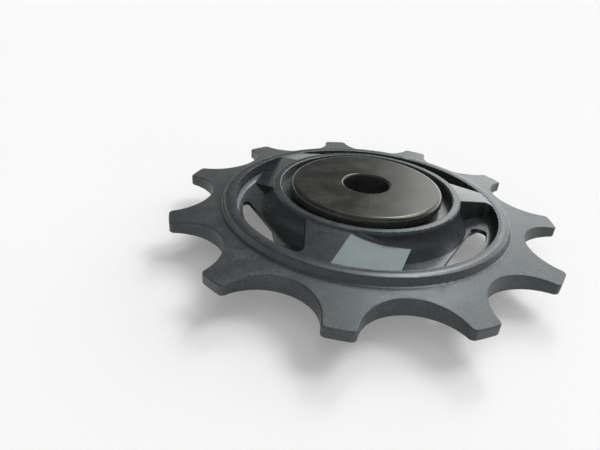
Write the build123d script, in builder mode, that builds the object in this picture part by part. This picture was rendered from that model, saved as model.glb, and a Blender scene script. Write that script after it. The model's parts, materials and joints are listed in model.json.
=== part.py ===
from build123d import *
from math import cos, hypot, pi, radians, sin, sqrt
import os

# Derailleur jockey wheel: an 11-tooth moulded pulley on a sealed ball bearing, with a dust cap on
# each face. Millimetres. The wheel's axis is Z, and the origin is the middle of the bore, on the
# middle plane of the teeth. Angles are degrees from X, counter-clockwise seen from above.

# Chain and teeth
chain_pitch = 12.7
roller_diameter = 7.75
tooth_count = 11
tooth_phase = 6.87
tooth_rise = 0.63
tip_width = 3.2
tip_corner_radius = 0.55
tip_thickness = 1.2
tooth_edge_round = 0.15
plate_thickness = 2.24

# Rim ridge, between the web and the teeth
rim_land = 1.51
ridge_width = 1.1
ridge_height = 2.0
ridge_crown = 0.08
ridge_edge_round = 0.15
ridge_flank_width = 0.35
ridge_foot_round = 0.3

# Hub ring
hub_width = 6.76
hub_radius = 11.1
ring_width = 0.93
recess_depth = 1.4
ring_round = 0.18

# Spokes, ramps and windows of the web
spoke_count = 3
spoke_phase = 12.75
spoke_hub_step = 0.25
spoke_hub_span = 27.3
spoke_rim_span = 9.6
spoke_rim_lead = 4.0
ramp_hub_end = 47.2
ramp_rim_end = 31.4
ramp_drop = 1.45
ramp_foot_round = 0.5
ramp_hub_overlap = 8.0
ramp_rim_overlap = 5.0
web_thickness = 0.5
wall_draft = 3.0
pocket_corner_share = 0.163
hub_flare_share = 0.283
rim_cove_radius = 0.9
window_turn = 36.4
window_margin_share = 0.217
window_reach_share = 0.58
window_end_share = 0.45
window_point_radius = 0.4

# Dust caps
cap_side_gap = 1.17
cap_edge_round = 0.5
cap_flange = 1.05
cap_boss_height = 0.25
cap_boss_inset = 0.3
bolt_bore_diameter = 5.5
bore_mouth_round = 0.25
stub_gap = 0.1

# Sealed ball bearing
bearing_bore = 8.0
bearing_outside = 16.0
bearing_width = 5.0
ball_diameter = 2.0
ball_count = 11
shoulder_share = 0.35
race_chamfer = 0.25
seal_seat_step = 0.3
seal_seat_depth = 0.5
seal_thickness = 0.3
cage_sheet = 0.2

# Clearances
press_gap = 0.01
ball_gap = 0.04
cage_gap = 0.06
cage_side_gap = 0.15
seal_lip_gap = 0.06
seal_seat_gap = 0.02

# Sizes that follow from the ones above
pitch_radius = chain_pitch / (2 * sin(pi / tooth_count))
root_radius = pitch_radius - roller_diameter / 2
tip_radius = pitch_radius + tooth_rise
half_tooth_sine = sin(pi / tooth_count)
valley_radius = (root_radius * half_tooth_sine - tip_width / 2) / (1 - half_tooth_sine)
ridge_foot_radius = root_radius - rim_land
ridge_outer_radius = ridge_foot_radius - ridge_flank_width
ridge_inner_radius = ridge_outer_radius - ridge_width
ridge_edge_height = ridge_height - ridge_crown
hub_top = hub_width / 2
recess_radius = hub_radius - ring_width
spoke_hub_height = hub_top - spoke_hub_step
seat_radius = bearing_outside / 2 + press_gap
web_top = web_thickness / 2
web_width = ridge_inner_radius - hub_radius
hub_flare = hub_flare_share * web_width
flare_rise = spoke_hub_height - web_top
flare_radius = (hub_flare**2 + flare_rise**2) / (2 * hub_flare)
pocket_corner_radius = pocket_corner_share * web_width
cap_radius = recess_radius - cap_side_gap
bearing_top = bearing_width / 2
cap_underside = bearing_top + cap_boss_height
cap_top = cap_underside + cap_flange
bearing_section = (bearing_outside - bearing_bore) / 2
inner_shoulder_radius = bearing_bore / 2 + shoulder_share * bearing_section
outer_shoulder_radius = bearing_outside / 2 - shoulder_share * bearing_section
cap_boss_radius = inner_shoulder_radius - cap_boss_inset
ball_radius = ball_diameter / 2
ball_pitch_radius = (inner_shoulder_radius + outer_shoulder_radius) / 2
groove_radius = ball_radius + ball_gap
seal_seat_radius = outer_shoulder_radius + seal_seat_step
seal_base = bearing_top - seal_seat_depth
cage_inner_radius = inner_shoulder_radius + cage_side_gap
cage_outer_radius = outer_shoulder_radius - cage_side_gap


def polar(radius, angle, height=0.0):
    """A point at a radius, an angle in degrees and a height."""
    return Vector(radius * cos(radians(angle)), radius * sin(radians(angle)), height)


def runs_round_teeth(edge):
    """Whether an edge runs round the teeth, on the upper or the lower face of their plate."""
    middle = edge.position_at(0.5)
    return hypot(middle.X, middle.Y) > root_radius - tooth_edge_round and abs(middle.Z) > tip_thickness / 4


# Outline of the teeth: round valleys that leave flat tips with rounded corners
with BuildSketch() as tooth_outline:
    Circle(tip_radius)
    with PolarLocations(root_radius + valley_radius, tooth_count, tooth_phase + 180 / tooth_count):
        Circle(valley_radius, mode=Mode.SUBTRACT)
    fillet(tooth_outline.vertices(), tip_corner_radius)

# Foot of the pocket walls: the hub flares out to the web, and the rim meets it in a cove
with BuildPart() as wall_feet:
    with BuildSketch(Plane.XZ):
        with BuildLine():
            hub_foot = (hub_radius, web_top)
            Line(hub_foot, (hub_radius + hub_flare, web_top))
            RadiusArc((hub_radius + hub_flare, web_top), (hub_radius, spoke_hub_height), flare_radius)
            Line((hub_radius, spoke_hub_height), hub_foot)
        make_face()
        with BuildLine():
            rim_foot = (ridge_inner_radius, web_top)
            Line(rim_foot, (ridge_inner_radius - rim_cove_radius, web_top))
            RadiusArc((ridge_inner_radius - rim_cove_radius, web_top),
                      (ridge_inner_radius, web_top + rim_cove_radius), -rim_cove_radius)
            Line((ridge_inner_radius, web_top + rim_cove_radius), rim_foot)
        make_face()
    revolve(axis=Axis.Z)

# Pocket beside each spoke, drawn on the web and widening upwards
pocket_start_hub = spoke_phase + ramp_hub_end
pocket_start_rim = spoke_phase + ramp_rim_end
next_spoke = spoke_phase + 360 / spoke_count
pocket_end_hub = next_spoke - spoke_hub_span / 2
pocket_end_rim = next_spoke + spoke_rim_lead - spoke_rim_span / 2
with BuildPart() as pocket:
    with BuildSketch(Plane.XY.offset(hub_top)) as pocket_outline:
        with BuildLine():
            Line(polar(hub_radius, pocket_start_hub), polar(ridge_inner_radius, pocket_start_rim))
            CenterArc((0, 0), ridge_inner_radius, pocket_start_rim, pocket_end_rim - pocket_start_rim)
            Line(polar(ridge_inner_radius, pocket_end_rim), polar(hub_radius, pocket_end_hub))
            CenterArc((0, 0), hub_radius, pocket_start_hub, pocket_end_hub - pocket_start_hub)
        make_face()
        fillet(pocket_outline.vertices(), pocket_corner_radius)
    extrude(amount=web_top - hub_top, taper=wall_draft)
    add(wall_feet.part, mode=Mode.SUBTRACT)

# Ramp from the crest of each spoke down to the pocket
crest_hub = polar(hub_radius, spoke_phase + spoke_hub_span / 2, spoke_hub_height)
crest_rim = polar(
    ridge_inner_radius, spoke_phase + spoke_rim_lead + spoke_rim_span / 2, ridge_edge_height
)
ramp_foot = polar(hub_radius, pocket_start_hub, spoke_hub_height - ramp_drop)
ramp_stop_hub = pocket_start_hub + ramp_hub_overlap
ramp_stop_rim = pocket_start_rim + ramp_rim_overlap
ramp_plane = Plane(crest_hub, z_dir=(crest_rim - crest_hub).cross(ramp_foot - crest_hub))
with BuildPart() as ramp:
    with BuildSketch(Plane.XY.offset(hub_top)):
        with BuildLine():
            Line(polar(hub_radius, spoke_phase), polar(ridge_inner_radius, spoke_phase))
            CenterArc((0, 0), ridge_inner_radius, spoke_phase, ramp_stop_rim - spoke_phase)
            Line(polar(ridge_inner_radius, ramp_stop_rim), polar(hub_radius, ramp_stop_hub))
            CenterArc((0, 0), hub_radius, spoke_phase, ramp_stop_hub - spoke_phase)
        make_face()
    extrude(amount=web_top - hub_top, taper=wall_draft)
    split(bisect_by=ramp_plane, keep=Keep.TOP)
    ramp_edges = ramp.faces().filter_by(ramp_plane).edges().filter_by(GeomType.LINE, reverse=True)
    fillet(ramp_edges.sort_by_distance((0, 0, 0))[0], ramp_foot_round)
    add(wall_feet.part, mode=Mode.SUBTRACT)

# Window through the web, with a straight edge towards the hub and a round one along the rim
window_chord = hub_radius + hub_flare
window_rim_radius = ridge_inner_radius - window_margin_share * web_width
window_half_chord = sqrt(window_rim_radius**2 - window_chord**2)
window_reach = window_reach_share * window_half_chord
window_end_offset = sqrt(window_rim_radius**2 - window_reach**2)
window_end_radius = window_end_share * (window_end_offset - window_chord)
with BuildPart() as window:
    with BuildSketch() as window_outline:
        with BuildLine():
            Line((window_chord, -window_half_chord), (window_chord, window_reach))
            Line((window_chord, window_reach), (window_end_offset, window_reach))
            ThreePointArc((window_end_offset, window_reach), (window_rim_radius, 0),
                          (window_chord, -window_half_chord))
        make_face()
        point = window_outline.vertices().sort_by(Axis.Y)[0]
        fillet(point, window_point_radius)
        fillet(window_outline.vertices().group_by(Axis.Y)[-1], window_end_radius)
    extrude(amount=web_thickness, both=True)

# Pulley wheel: a turned section with the teeth, pockets, ramps and windows cut from it
with BuildPart() as pulley_wheel:
    with BuildSketch(Plane.XZ) as wheel_section:
        with BuildLine():
            Polyline(
                (seat_radius, 0),
                (seat_radius, hub_top - recess_depth),
                (recess_radius, hub_top - recess_depth),
                (recess_radius, hub_top),
                (hub_radius, hub_top),
                (hub_radius, spoke_hub_height),
                (ridge_inner_radius, ridge_edge_height),
            )
            ThreePointArc(
                (ridge_inner_radius, ridge_edge_height),
                (ridge_inner_radius + ridge_width / 2, ridge_height),
                (ridge_outer_radius, ridge_edge_height),
            )
            Polyline(
                (ridge_outer_radius, ridge_edge_height),
                (ridge_foot_radius, plate_thickness / 2),
                (tip_radius, tip_thickness / 2),
                (tip_radius, 0),
                (seat_radius, 0),
            )
        make_face()
        ring_corners = wheel_section.vertices().group_by(Axis.Y)[-1]
        fillet(ring_corners, ring_round)
        ridge_edge = (ridge_outer_radius, ridge_edge_height)
        fillet(wheel_section.vertices().sort_by_distance(ridge_edge)[0], ridge_edge_round)
        foot_point = (ridge_foot_radius, plate_thickness / 2)
        fillet(wheel_section.vertices().sort_by_distance(foot_point)[0], ridge_foot_round)
        mirror(about=Plane.XZ)
    revolve(axis=Axis.Z)
    extrude(tooth_outline.sketch, amount=hub_top, both=True, mode=Mode.INTERSECT)
    fillet(pulley_wheel.edges().filter_by(runs_round_teeth), tooth_edge_round)
    with PolarLocations(0, spoke_count):
        add(pocket.part, mode=Mode.SUBTRACT)
        add(ramp.part, mode=Mode.SUBTRACT)
        add(mirror(pocket.part, about=Plane.XY, mode=Mode.PRIVATE), mode=Mode.SUBTRACT)
        add(mirror(ramp.part, about=Plane.XY, mode=Mode.PRIVATE), mode=Mode.SUBTRACT)
    with PolarLocations(0, spoke_count, spoke_phase - window_turn):
        add(window.part, mode=Mode.SUBTRACT)
pulley_wheel.part.label = "pulley_wheel"

# Dust caps: a flange over the bearing, and a stub that plugs into the inner race
with BuildPart() as upper_dust_cap:
    with BuildSketch(Plane.XZ) as cap_section:
        with BuildLine():
            Polyline(
                (bolt_bore_diameter / 2, stub_gap / 2),
                (bearing_bore / 2 - press_gap, stub_gap / 2),
                (bearing_bore / 2 - press_gap, bearing_top),
                (cap_boss_radius, bearing_top),
                (cap_boss_radius, cap_underside),
                (cap_radius, cap_underside),
                (cap_radius, cap_top),
                (bolt_bore_diameter / 2, cap_top),
                close=True,
            )
        make_face()
        fillet(cap_section.vertices().sort_by_distance((cap_radius, cap_top))[0], cap_edge_round)
        bore_mouth = (bolt_bore_diameter / 2, cap_top)
        fillet(cap_section.vertices().sort_by_distance(bore_mouth)[0], bore_mouth_round)
    revolve(axis=Axis.Z)
upper_dust_cap.part.label = "upper_dust_cap"

with BuildPart() as lower_dust_cap:
    mirror(upper_dust_cap.part, about=Plane.XY)
lower_dust_cap.part.label = "lower_dust_cap"

# Races: rings with a ball groove, and a step at each face for the seal
with BuildPart() as outer_race:
    with BuildSketch(Plane.XZ) as outer_section:
        with BuildLine():
            Polyline(
                (outer_shoulder_radius, 0),
                (outer_shoulder_radius, seal_base),
                (seal_seat_radius, seal_base),
                (seal_seat_radius, bearing_top),
                (bearing_outside / 2, bearing_top),
                (bearing_outside / 2, 0),
                close=True,
            )
        make_face()
        outer_corner = (bearing_outside / 2, bearing_top)
        chamfer(outer_section.vertices().sort_by_distance(outer_corner)[0], race_chamfer)
        mirror(about=Plane.XZ)
        with Locations((ball_pitch_radius, 0)):
            Circle(groove_radius, mode=Mode.SUBTRACT)
    revolve(axis=Axis.Z)
outer_race.part.label = "outer_race"

with BuildPart() as inner_race:
    with BuildSketch(Plane.XZ) as inner_section:
        with BuildLine():
            Polyline(
                (bearing_bore / 2, 0),
                (bearing_bore / 2, bearing_top),
                (inner_shoulder_radius, bearing_top),
                (inner_shoulder_radius, 0),
                close=True,
            )
        make_face()
        chamfer(inner_section.vertices().group_by(Axis.Y)[-1], race_chamfer)
        mirror(about=Plane.XZ)
        with Locations((ball_pitch_radius, 0)):
            Circle(groove_radius, mode=Mode.SUBTRACT)
    revolve(axis=Axis.Z)
inner_race.part.label = "inner_race"

# Cage: two pressed ribbons that meet between the balls and arch over them
with BuildPart() as upper_cage:
    with BuildSketch() as cage_band:
        Circle(cage_outer_radius)
        Circle(cage_inner_radius, mode=Mode.SUBTRACT)
    extrude(amount=cage_sheet)
    with PolarLocations(ball_pitch_radius, ball_count):
        Sphere(ball_radius + cage_gap + cage_sheet)
    extrude(cage_band.sketch, amount=bearing_top, mode=Mode.INTERSECT)
    with PolarLocations(ball_pitch_radius, ball_count):
        Sphere(ball_radius + cage_gap, mode=Mode.SUBTRACT)
upper_cage.part.label = "upper_cage"

with BuildPart() as lower_cage:
    mirror(upper_cage.part, about=Plane.XY)
lower_cage.part.label = "lower_cage"

# Seals: discs held in the outer race, with a lip close to the inner race
with BuildPart() as upper_seal:
    with BuildSketch(Plane.XY.offset(seal_base)):
        Circle(seal_seat_radius - seal_seat_gap)
        Circle(inner_shoulder_radius + seal_lip_gap, mode=Mode.SUBTRACT)
    extrude(amount=seal_thickness)
upper_seal.part.label = "upper_seal"

with BuildPart() as lower_seal:
    mirror(upper_seal.part, about=Plane.XY)
lower_seal.part.label = "lower_seal"

pieces = [
    pulley_wheel,
    upper_dust_cap,
    lower_dust_cap,
    outer_race,
    inner_race,
    upper_cage,
    lower_cage,
    upper_seal,
    lower_seal,
]

# Balls, one to each pocket of the cage
for index in range(ball_count):
    with BuildPart() as ball:
        with Locations(polar(ball_pitch_radius, index * 360 / ball_count)):
            Sphere(ball_radius)
    ball.part.label = f"ball_{index + 1:02d}"
    pieces.append(ball)

os.makedirs("parts", exist_ok=True)
for piece in pieces:
    export_step(piece.part, f"parts/{piece.part.label}.step")
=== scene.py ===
"""Looks of the derailleur jockey wheel: materials, floor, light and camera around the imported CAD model.

Metres, in the CAD frame: Z is the wheel's axis, and the camera stands towards -Y. The materials' patterns
are worked out in millimetres: a scale is cells per millimetre, and a radius or a speck's size is a length.
"""

import json
from math import radians

import bpy
from mathutils import Matrix, Vector


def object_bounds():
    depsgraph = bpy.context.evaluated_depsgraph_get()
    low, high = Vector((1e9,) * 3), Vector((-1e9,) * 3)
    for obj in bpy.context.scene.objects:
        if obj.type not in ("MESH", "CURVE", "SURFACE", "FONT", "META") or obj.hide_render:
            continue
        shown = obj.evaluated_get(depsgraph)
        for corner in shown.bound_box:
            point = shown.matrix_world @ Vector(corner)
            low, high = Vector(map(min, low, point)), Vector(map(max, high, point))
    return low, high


MM = 0.001
WHITE = (1.0, 1.0, 1.0, 1.0)

# Camera, as found from the circles and teeth in the photograph
CAMERA_PLACE = Vector((0.0, -54.275, 27.527)) * MM
CAMERA_RIGHT = Vector((0.98273, 0.17407, 0.06285))
CAMERA_UP = Vector((-0.13941, 0.47291, 0.87001))
IMAGE_WIDTH = 600
FOCAL_PIXELS = 487.6
SENSOR_WIDTH = 36.0
NEAR_CLIP = 1 * MM
FAR_CLIP = 10.0

# Light: angles in degrees, sideways from the view's far side (+Y) towards +X and upwards from the horizon
ROOM_LEVEL = 0.11
FRONT_LEVEL = 0.4
FRONT_START = 0.1
FRONT_FULL = -0.8
CEILING_LEVEL = 0.7
CEILING_START = 62.0
CEILING_FULL = 80.0
HORIZON_LEVEL = 0.6
HORIZON_TOP = 12.0
SHADE_LEFT = -110.0
SHADE_RIGHT = 0.0
SOFT_SIDE = 6.0
WALL = dict(left=5.0, right=72.0, bottom=-2.0, top=34.0, soft=6.0, level=2.0)
WINDOW = dict(left=36.0, right=80.0, bottom=42.0, top=66.0, soft=6.0, level=7.3)
SHELF = dict(left=-12.0, right=40.0, bottom=40.0, top=58.0, soft=5.0, level=1.9)
LAMP = dict(left=7.0, right=18.0, bottom=34.0, top=50.0, soft=3.0, level=16.0)

# Floor
FLOOR_RADIUS = 3.0
FLOOR_SIDES = 96
FLOOR_COLOUR = (0.95, 0.95, 0.945)
FLOOR_FADE = 0.985
FLOOR_CLOUD = dict(scale=0.02, detail=3.0, low=0.30, high=0.70)
FLOOR_GLOW = 0.2

# Edges: how far the shading rounds them, and how far that turns the surface, as a cosine
WHEEL_EDGE = 0.06 * MM
CAP_EDGE = 0.1 * MM
STEEL_EDGE = 0.05 * MM
EDGE_SAMPLES = 12
EDGE_STARTS = 0.995
EDGE_FULL = 0.80

# Dust and scratches on the plastics. The dust colour also serves as painted fill light in the wheel's
# shaded recess and on the cap's shaded side.
DUST_AND_PAINTED_FILL_COLOUR = (0.42, 0.44, 0.43)
SCRATCH_STRETCH = (0.16, 9.0, 1.0)
SCRATCH_LINES = dict(scale=1.0, detail=2.0, roughness=0.5)
SCRATCH_PATCHES = dict(scale=0.35, detail=2.0, low=0.48, high=0.66)

# Wheel plastic
WHEEL_BLACK = (0.028, 0.030, 0.032)
WHEEL_GREY = (0.037, 0.040, 0.042)
# Tint of the wheel's reflections: a painted light colour standing in for the bluish room light
WHEEL_SHEEN_PAINTED_LIGHT_TINT = (0.82, 1.0, 0.99, 1.0)
WHEEL_IOR = 1.48
# Colour of the wheel's pale edges: partly wear, partly a painted highlight along the edges
WORN_AND_PAINTED_HIGHLIGHT_COLOUR = (0.20, 0.21, 0.215)
PLATE_START = 16.9
PLATE_FULL = 17.7
PLATE_FRAY = 0.9
FRAY_PATTERN = dict(scale=3.0, detail=2.0, roughness=0.6)
RECESS_RADIUS = 10.2
RECESS_SOFT = 0.1
# Dust in the recess by the cap, raised beyond dust alone: partly painted fill light lifting the recess's
# shade
RECESS_DUST_AND_PAINTED_FILL = 5.0
WHEEL_MOTTLE = dict(scale=0.8, detail=6.0, roughness=0.65)
WHEEL_CLOUD = dict(scale=0.45, detail=5.0, roughness=0.6, low=0.36, high=0.70, to_low=0.3)
WHEEL_GRIT = dict(scale=4.0, detail=3.0, roughness=0.65, low=0.36, high=0.70, to_low=0.015, to_high=0.065)
# Where the edges turn pale: wear, partly a painted edge highlight
WHEEL_WEAR_AND_PAINTED_HIGHLIGHT = dict(scale=0.7, detail=3.0, low=0.40, high=0.66, to_low=0.12, to_high=0.5)
FINE_SPECKS = dict(scale=3.2, size=0.035, share=0.10, amount=0.3)
COARSE_SPECKS = dict(scale=1.3, size=0.06, share=0.08, amount=0.6)
CRUMBS = dict(scale=2.2, size=0.09, share=0.35, amount=0.22)
WHEEL_GRAIN = dict(scale=9.0, detail=4.0, roughness=0.65)
GRAIN_HEIGHT = 0.014 * MM
WHEEL_RIPPLE = dict(scale=0.9, detail=3.0, roughness=0.5)
RIPPLE_HEIGHT = 0.05 * MM
RIPPLE_STRENGTH = 0.06

# Cap plastic
CAP_BLACK = (0.014, 0.015, 0.014)
CAP_GREY = (0.026, 0.027, 0.024)
# Tint of the cap's reflections: a painted light colour standing in for the greenish room light
CAP_SHEEN_PAINTED_LIGHT_TINT = (0.93, 1.0, 0.82, 1.0)
CAP_IOR = 1.46
CAP_CLOUD = dict(scale=0.3, detail=5.0, roughness=0.6, low=0.35, high=0.70)
CAP_SCRATCHES = (dict(turn=25.0, width=0.010), dict(turn=-48.0, width=0.008))
SCRATCH_PALENESS = 0.10
SCRATCH_ROUGHNESS = 0.15
CAP_SPECKS = dict(scale=0.9, size=0.06, share=0.12, amount=0.5)
# Grit on the cap's upright side: dust, partly painted fill light lifting the shaded gap
CAP_SIDE_GRIT_AND_PAINTED_FILL = dict(scale=4.0, detail=4.0, roughness=0.75, low=0.38, high=0.68, to_low=0.02, to_high=0.09)
CAP_GRAIN = dict(scale=6.0, detail=3.0, roughness=0.55)
CAP_GRAIN_HEIGHT = 0.006 * MM
CAP_GRAIN_STRENGTH = 0.25

# Bearing steel
STEEL_DARK = (0.42, 0.42, 0.43)
STEEL_LIGHT = (0.62, 0.62, 0.63)
STEEL_CLOUD = dict(scale=0.7, detail=3.0, low=0.35, high=0.65)
TURNED_LINES = dict(scale=18.0, detail=3.0, roughness=0.6)
TURNED_HEIGHT = 0.004 * MM
TURNED_STRENGTH = 0.4
RACE_ROUGHNESS = (0.16, 0.30)
BALL_ROUGHNESS = (0.05, 0.12)
CAGE_ROUGHNESS = (0.28, 0.45)

# Seal rubber
RUBBER_DARK = (0.016, 0.016, 0.017)
RUBBER_GREY = (0.035, 0.035, 0.036)
RUBBER_BLOOM = dict(scale=1.1, detail=5.0, roughness=0.6, low=0.40, high=0.70)
RUBBER_GRAIN = dict(scale=14.0, detail=3.0, roughness=0.6)
RUBBER_GRAIN_HEIGHT = 0.01 * MM
RUBBER_GRAIN_STRENGTH = 0.5


class Graph:
    """Short calls for making and joining the nodes of one node tree."""

    def __init__(self, tree):
        self.tree = tree
        self.tree.nodes.clear()

    def add(self, kind, inputs=None, **settings):
        """A node with its settings and its inputs, each a value or another node's output."""
        node = self.tree.nodes.new(kind)
        for name, value in settings.items():
            setattr(node, name, value)
        for name, value in (inputs or {}).items():
            self.feed(node.inputs[name], value)
        return node

    def feed(self, socket, value):
        if isinstance(value, bpy.types.NodeSocket):
            self.tree.links.new(value, socket)
        else:
            socket.default_value = value

    def math(self, operation, a, b=0.0):
        return self.add("ShaderNodeMath", {0: a, 1: b}, operation=operation).outputs[0]

    def vector(self, operation, a, b=(0.0, 0.0, 0.0)):
        return self.add("ShaderNodeVectorMath", {0: a, 1: b}, operation=operation)

    def remap(self, value, low, high, to_low=0.0, to_high=1.0):
        """A smooth step from one range to another, held at both ends."""
        inputs = {"Value": value, "From Min": low, "From Max": high, "To Min": to_low, "To Max": to_high}
        node = self.add("ShaderNodeMapRange", inputs, interpolation_type="SMOOTHSTEP", clamp=True)
        return node.outputs["Result"]

    def spread(self, share, at_none, at_full):
        """A value between two others, by a share from nought to one."""
        return self.remap(share, 0.0, 1.0, at_none, at_full)

    def between(self, value, low, high, soft):
        """One between two values, falling smoothly to nought outside them."""
        rise = self.remap(value, low - soft, low + soft)
        fall = self.remap(value, high + soft, high - soft)
        return self.math("MULTIPLY", rise, fall)

    def mix(self, factor, a, b):
        """A colour between two colours."""
        inputs = {"Factor": factor, 6: self.colour(a), 7: self.colour(b)}
        return self.add("ShaderNodeMix", inputs, data_type="RGBA").outputs[2]

    @staticmethod
    def colour(value):
        if isinstance(value, bpy.types.NodeSocket):
            return value
        return (*value, 1.0)

    def millimetres(self):
        """The object's own coordinates, in millimetres."""
        place = self.add("ShaderNodeTexCoord").outputs["Object"]
        scaled = self.add("ShaderNodeVectorMath", {0: place, "Scale": 1 / MM}, operation="SCALE")
        return scaled.outputs["Vector"]

    def axis_distance(self, place):
        """How far a place is from the wheel's axis."""
        flat = self.vector("MULTIPLY", place, (1.0, 1.0, 0.0)).outputs["Vector"]
        return self.vector("LENGTH", flat).outputs["Value"]

    def facing_up(self):
        """How far the surface faces up: one on top, nought on an upright wall, minus one underneath."""
        facing = self.add("ShaderNodeTexCoord").outputs["Normal"]
        return self.add("ShaderNodeSeparateXYZ", {"Vector": facing}).outputs["Z"]

    def noise(self, place, scale, detail, roughness=0.55):
        inputs = {"Vector": place, "Scale": scale, "Detail": detail, "Roughness": roughness}
        return self.add("ShaderNodeTexNoise", inputs).outputs["Fac"]

    def patches(self, place, low, high, to_low=0.0, to_high=1.0, **pattern):
        """Noise, with its levels between low and high spread over another range."""
        return self.remap(self.noise(place, **pattern), low, high, to_low, to_high)

    def specks(self, place, scale, size, share, amount):
        """Small round specks of different sizes, in some of the cells of a pattern."""
        cells = self.add("ShaderNodeTexVoronoi", {"Vector": place, "Scale": scale})
        pick = self.add("ShaderNodeSeparateColor", {"Color": cells.outputs["Color"]})
        reach = self.remap(pick.outputs["Red"], 1.0 - share, 1.0, 0.0, size * scale)
        inside = self.math("LESS_THAN", cells.outputs["Distance"], reach)
        return self.math("MULTIPLY", inside, amount)

    def scratches(self, place, turn, width):
        """Fine straight scratches that come and go along one direction."""
        turned = self.add(
            "ShaderNodeMapping",
            {"Vector": place, "Rotation": (0.0, 0.0, radians(turn)), "Scale": SCRATCH_STRETCH},
        )
        lines = self.noise(turned.outputs["Vector"], **SCRATCH_LINES)
        from_middle = self.math("ABSOLUTE", self.math("SUBTRACT", lines, 0.5))
        scratched = self.patches(place, **SCRATCH_PATCHES)
        return self.math("MULTIPLY", self.remap(from_middle, width, 0.0), scratched)

    def edges(self, radius):
        """The rounded normal of the part's edges, and how near a place is to an edge."""
        rounded = self.add("ShaderNodeBevel", {"Radius": radius}, samples=EDGE_SAMPLES).outputs["Normal"]
        true_normal = self.add("ShaderNodeNewGeometry").outputs["Normal"]
        turn = self.vector("DOT_PRODUCT", rounded, true_normal).outputs["Value"]
        return rounded, self.remap(turn, EDGE_STARTS, EDGE_FULL)

    def bump(self, height, distance, strength, normal):
        inputs = {"Height": height, "Distance": distance, "Strength": strength, "Normal": normal}
        return self.add("ShaderNodeBump", inputs).outputs["Normal"]

    def seen_rays(self):
        """Whether a ray is the camera's own, and whether a surface mirrored it or let it through."""
        rays = self.add("ShaderNodeLightPath").outputs
        passed_on = self.math("MAXIMUM", rays["Is Glossy Ray"], rays["Is Transmission Ray"])
        return rays["Is Camera Ray"], passed_on

    def surface(self, **inputs):
        """The surface shader, joined to the material's output."""
        named = {name.replace("_", " "): value for name, value in inputs.items()}
        shader = self.add("ShaderNodeBsdfPrincipled", named)
        self.add("ShaderNodeOutputMaterial", {"Surface": shader.outputs["BSDF"]})


def new_graph(name):
    material = bpy.data.materials.new(name)
    material.use_nodes = True
    return material, Graph(material.node_tree)


def wheel_plastic():
    """Satin moulded plastic: smooth inside the rim, dull and dusty on the toothed plate, worn at edges with
    a painted highlight there, dust with painted fill light lifting the shaded recess by the cap, and a
    sheen tinted with a painted light colour.
    """
    material, g = new_graph("wheel_plastic")
    place = g.millimetres()
    rounded, edge = g.edges(WHEEL_EDGE)
    radius = g.axis_distance(place)
    facing_up = g.facing_up()
    fray = g.math("MULTIPLY", g.math("SUBTRACT", g.noise(place, **FRAY_PATTERN), 0.5), PLATE_FRAY)
    plate = g.remap(g.math("ADD", radius, fray), PLATE_START, PLATE_FULL)
    recess = g.remap(radius, RECESS_RADIUS + RECESS_SOFT, RECESS_RADIUS)

    mottle = g.noise(place, **WHEEL_MOTTLE)
    skin = g.mix(g.remap(mottle, low=0.35, high=0.68), WHEEL_BLACK, WHEEL_GREY)

    cloud = g.patches(place, **WHEEL_CLOUD)
    grit = g.patches(place, **WHEEL_GRIT)
    settled = g.math("MULTIPLY", g.remap(facing_up, low=0.55, high=0.98, to_low=0.6), cloud)
    on_plate = g.spread(plate, at_none=0.7, at_full=2.6)
    # The recess by the cap gets dust and painted fill light, lifting its shade
    dust_and_painted_fill_amount = g.math("ADD", on_plate, g.math("MULTIPLY", recess, RECESS_DUST_AND_PAINTED_FILL))
    dust_and_painted_fill = g.math("MULTIPLY", g.math("MULTIPLY", settled, grit), dust_and_painted_fill_amount)
    dusty_and_painted_fill = g.mix(dust_and_painted_fill, skin, DUST_AND_PAINTED_FILL_COLOUR)

    # Paler edges: partly wear, partly a painted highlight along the edges
    wear_and_painted_highlight = g.math("MULTIPLY", edge, g.patches(place, **WHEEL_WEAR_AND_PAINTED_HIGHLIGHT))
    worn_and_painted_highlight = g.mix(wear_and_painted_highlight, dusty_and_painted_fill, WORN_AND_PAINTED_HIGHLIGHT_COLOUR)

    upright = g.remap(g.math("ABSOLUTE", facing_up), low=0.5, high=0.2)
    tooth_walls = g.math("MULTIPLY", plate, upright)
    crumbs = g.math("MULTIPLY", g.specks(place, **CRUMBS), tooth_walls)
    specks = g.math("MAXIMUM", g.specks(place, **FINE_SPECKS), g.specks(place, **COARSE_SPECKS))
    colour = g.mix(g.math("MAXIMUM", specks, crumbs), worn_and_painted_highlight, DUST_AND_PAINTED_FILL_COLOUR)

    dull = g.math("MULTIPLY", plate, g.remap(cloud, low=0.3, high=1.0, to_low=0.07, to_high=0.17))
    satin = g.remap(mottle, low=0.30, high=0.70, to_low=0.26, to_high=0.30)
    roughness = g.math("ADD", satin, dull)
    grain_strength = g.spread(plate, at_none=0.15, at_full=0.8)
    grained = g.bump(g.noise(place, **WHEEL_GRAIN), GRAIN_HEIGHT, grain_strength, rounded)
    normal = g.bump(g.noise(place, **WHEEL_RIPPLE), RIPPLE_HEIGHT, RIPPLE_STRENGTH, grained)
    # The reflections are tinted with a painted light colour
    g.surface(
        Base_Color=colour, Roughness=roughness, Normal=normal, IOR=WHEEL_IOR, Specular_Tint=WHEEL_SHEEN_PAINTED_LIGHT_TINT
    )
    return material


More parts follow.
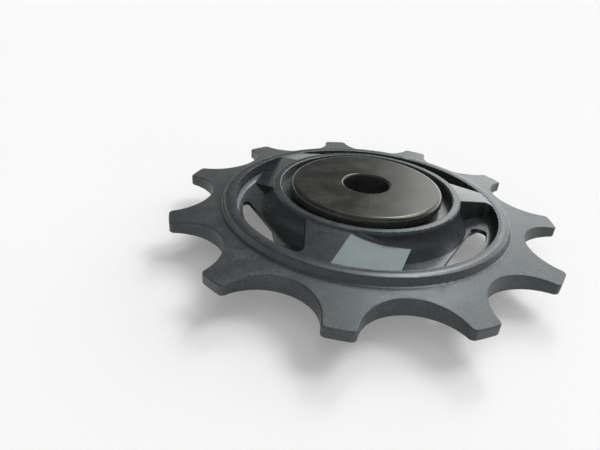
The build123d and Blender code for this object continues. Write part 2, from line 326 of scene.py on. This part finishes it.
def cap_plastic():
    """Smoother black plastic with fine rubbed scratches, specks, dust and painted fill light on its upright
    side, and a sheen tinted with a painted light colour.
    """
    material, g = new_graph("cap_plastic")
    place = g.millimetres()
    rounded, _ = g.edges(CAP_EDGE)
    cloud = g.patches(place, **CAP_CLOUD)
    skin = g.mix(cloud, CAP_BLACK, CAP_GREY)

    first, second = (g.scratches(place, **direction) for direction in CAP_SCRATCHES)
    marks = g.math("MAXIMUM", first, second)
    rubbed = g.mix(g.math("MULTIPLY", marks, SCRATCH_PALENESS), skin, DUST_AND_PAINTED_FILL_COLOUR)
    specked = g.mix(g.specks(place, **CAP_SPECKS), rubbed, DUST_AND_PAINTED_FILL_COLOUR)

    # The cap's upright side gets dust and painted fill light, lifting the shaded gap round it
    side = g.remap(g.math("ABSOLUTE", g.facing_up()), low=0.6, high=0.2)
    side_dust_and_painted_fill = g.math("MULTIPLY", side, g.patches(place, **CAP_SIDE_GRIT_AND_PAINTED_FILL))
    colour = g.mix(side_dust_and_painted_fill, specked, DUST_AND_PAINTED_FILL_COLOUR)

    smooth = g.spread(cloud, at_none=0.20, at_full=0.25)
    roughness = g.math("ADD", g.math("MULTIPLY", marks, SCRATCH_ROUGHNESS), smooth)
    normal = g.bump(g.noise(place, **CAP_GRAIN), CAP_GRAIN_HEIGHT, CAP_GRAIN_STRENGTH, rounded)
    # The reflections are tinted with a painted light colour
    g.surface(
        Base_Color=colour, Roughness=roughness, Normal=normal, IOR=CAP_IOR, Specular_Tint=CAP_SHEEN_PAINTED_LIGHT_TINT
    )
    return material


def steel(name, roughness_low, roughness_high):
    """Ground steel: fine turned lines round the axis, with slight clouding."""
    material, g = new_graph(name)
    place = g.millimetres()
    height = g.add("ShaderNodeSeparateXYZ", {"Vector": place}).outputs["Z"]
    section = g.add("ShaderNodeCombineXYZ", {"X": g.axis_distance(place), "Y": height})
    lines = g.noise(section.outputs["Vector"], **TURNED_LINES)
    colour = g.mix(g.patches(place, **STEEL_CLOUD), STEEL_DARK, STEEL_LIGHT)
    roughness = g.remap(lines, low=0.30, high=0.70, to_low=roughness_low, to_high=roughness_high)
    rounded, _ = g.edges(STEEL_EDGE)
    normal = g.bump(lines, TURNED_HEIGHT, TURNED_STRENGTH, rounded)
    g.surface(Base_Color=colour, Metallic=1.0, Roughness=roughness, Normal=normal)
    return material


def seal_rubber():
    """Moulded black rubber with a fine grain and a bloom of grease."""
    material, g = new_graph("seal_rubber")
    place = g.millimetres()
    bloom = g.patches(place, **RUBBER_BLOOM)
    colour = g.mix(bloom, RUBBER_DARK, RUBBER_GREY)
    roughness = g.spread(bloom, at_none=0.55, at_full=0.72)
    rounded, _ = g.edges(STEEL_EDGE)
    normal = g.bump(g.noise(place, **RUBBER_GRAIN), RUBBER_GRAIN_HEIGHT, RUBBER_GRAIN_STRENGTH, rounded)
    g.surface(Base_Color=colour, Roughness=roughness, Normal=normal)
    return material


def floor_paint():
    """Plain pale paint, with a little of its white shown unshaded to the eye and to reflections."""
    material, g = new_graph("pale_floor")
    cloud = g.patches(g.millimetres(), **FLOOR_CLOUD)
    colour = g.mix(cloud, FLOOR_COLOUR, [channel * FLOOR_FADE for channel in FLOOR_COLOUR])
    paint = g.add("ShaderNodeBsdfDiffuse", {"Color": colour})
    white = g.add("ShaderNodeEmission", {"Color": WHITE, "Strength": 1.0})
    from_camera, passed_on = g.seen_rays()
    share = g.math("MULTIPLY", g.math("MAXIMUM", from_camera, passed_on), FLOOR_GLOW)
    both = {0: share, 1: paint.outputs["BSDF"], 2: white.outputs["Emission"]}
    top = g.add("ShaderNodeMixShader", both)
    g.add("ShaderNodeOutputMaterial", {"Surface": top.outputs["Shader"]})
    return material


def dress(frame):
    """Gives each CAD node the material of its slot in the record."""
    finishes = {
        "wheel_plastic": wheel_plastic(),
        "cap_plastic": cap_plastic(),
        "race_steel": steel("race_steel", *RACE_ROUGHNESS),
        "ball_steel": steel("ball_steel", *BALL_ROUGHNESS),
        "cage_steel": steel("cage_steel", *CAGE_ROUGHNESS),
        "seal_rubber": seal_rubber(),
    }
    for part in frame["record"]["subparts"]:
        node = frame["nodes"][part["node"]]
        node.data.materials.clear()
        node.data.materials.append(finishes[part["material_slot"]])


def lay_floor(height):
    """A wide round floor under the part."""
    bpy.ops.mesh.primitive_circle_add(
        vertices=FLOOR_SIDES, radius=FLOOR_RADIUS, fill_type="NGON", location=(0, 0, height)
    )
    floor = bpy.context.object
    floor.name = "floor"
    floor.data.materials.append(floor_paint())


def lit_panel(g, azimuth, elevation, left, right, bottom, top, soft, level):
    """The level of a bright panel of the room, with soft sides."""
    across = g.between(azimuth, left, right, soft)
    upright = g.between(elevation, bottom, top, soft)
    return g.math("MULTIPLY", g.math("MULTIPLY", across, upright), level)


def light_studio():
    """A plain room, dim to the back left, with a pale wall, a window, a shelf and a lamp at the back right.

    The camera sees it as a white backdrop, and so do reflections near the horizon.
    """
    world = bpy.data.worlds.new("studio")
    world.use_nodes = True
    bpy.context.scene.world = world
    g = Graph(world.node_tree)
    looking = g.add("ShaderNodeTexCoord").outputs["Generated"]
    x, y, z = g.add("ShaderNodeSeparateXYZ", {"Vector": looking}).outputs
    azimuth = g.math("DEGREES", g.math("ARCTAN2", x, y))
    elevation = g.math("DEGREES", g.math("ARCSINE", z))

    front = g.remap(y, FRONT_START, FRONT_FULL, 0.0, FRONT_LEVEL)
    ceiling = g.remap(elevation, CEILING_START, CEILING_FULL, 0.0, CEILING_LEVEL)
    lit = g.math("SUBTRACT", 1.0, g.between(azimuth, SHADE_LEFT, SHADE_RIGHT, SOFT_SIDE))
    low = g.remap(elevation, HORIZON_TOP + SOFT_SIDE, HORIZON_TOP - SOFT_SIDE)
    horizon = g.math("MULTIPLY", g.math("MULTIPLY", lit, low), HORIZON_LEVEL)
    level = ROOM_LEVEL
    for light in (front, ceiling, horizon):
        level = g.math("ADD", light, level)
    for panel in (WALL, WINDOW, SHELF, LAMP):
        level = g.math("ADD", lit_panel(g, azimuth, elevation, **panel), level)

    from_camera, passed_on = g.seen_rays()
    backdrop = g.math("MAXIMUM", from_camera, g.math("MULTIPLY", passed_on, low))
    shown = g.math("MAXIMUM", level, backdrop)
    room = g.add("ShaderNodeBackground", {"Color": WHITE, "Strength": shown})
    g.add("ShaderNodeOutputWorld", {"Surface": room.outputs["Background"]})


def place_camera():
    """The photograph's camera, in the place and with the lens that were found for it."""
    lens = bpy.data.cameras.new("camera")
    lens.sensor_width = SENSOR_WIDTH
    lens.lens = FOCAL_PIXELS / IMAGE_WIDTH * SENSOR_WIDTH
    lens.clip_start = NEAR_CLIP
    lens.clip_end = FAR_CLIP
    camera = bpy.data.objects.new("camera", lens)
    backward = CAMERA_RIGHT.cross(CAMERA_UP)
    turn = Matrix((CAMERA_RIGHT, CAMERA_UP, backward)).transposed()
    camera.matrix_world = Matrix.Translation(CAMERA_PLACE) @ turn.to_4x4()
    bpy.context.scene.collection.objects.link(camera)
    bpy.context.scene.camera = camera


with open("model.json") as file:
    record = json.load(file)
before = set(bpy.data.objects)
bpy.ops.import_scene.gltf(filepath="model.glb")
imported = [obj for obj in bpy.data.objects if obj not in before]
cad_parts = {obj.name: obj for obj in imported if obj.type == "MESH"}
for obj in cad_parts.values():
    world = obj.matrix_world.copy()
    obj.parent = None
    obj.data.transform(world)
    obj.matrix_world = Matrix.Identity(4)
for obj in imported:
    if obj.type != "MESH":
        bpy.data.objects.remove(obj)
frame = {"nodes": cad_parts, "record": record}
cad_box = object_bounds()

dress(frame)
lay_floor(cad_box[0].z)
light_studio()
place_camera()
bpy.context.scene.view_settings.view_transform = "Standard"
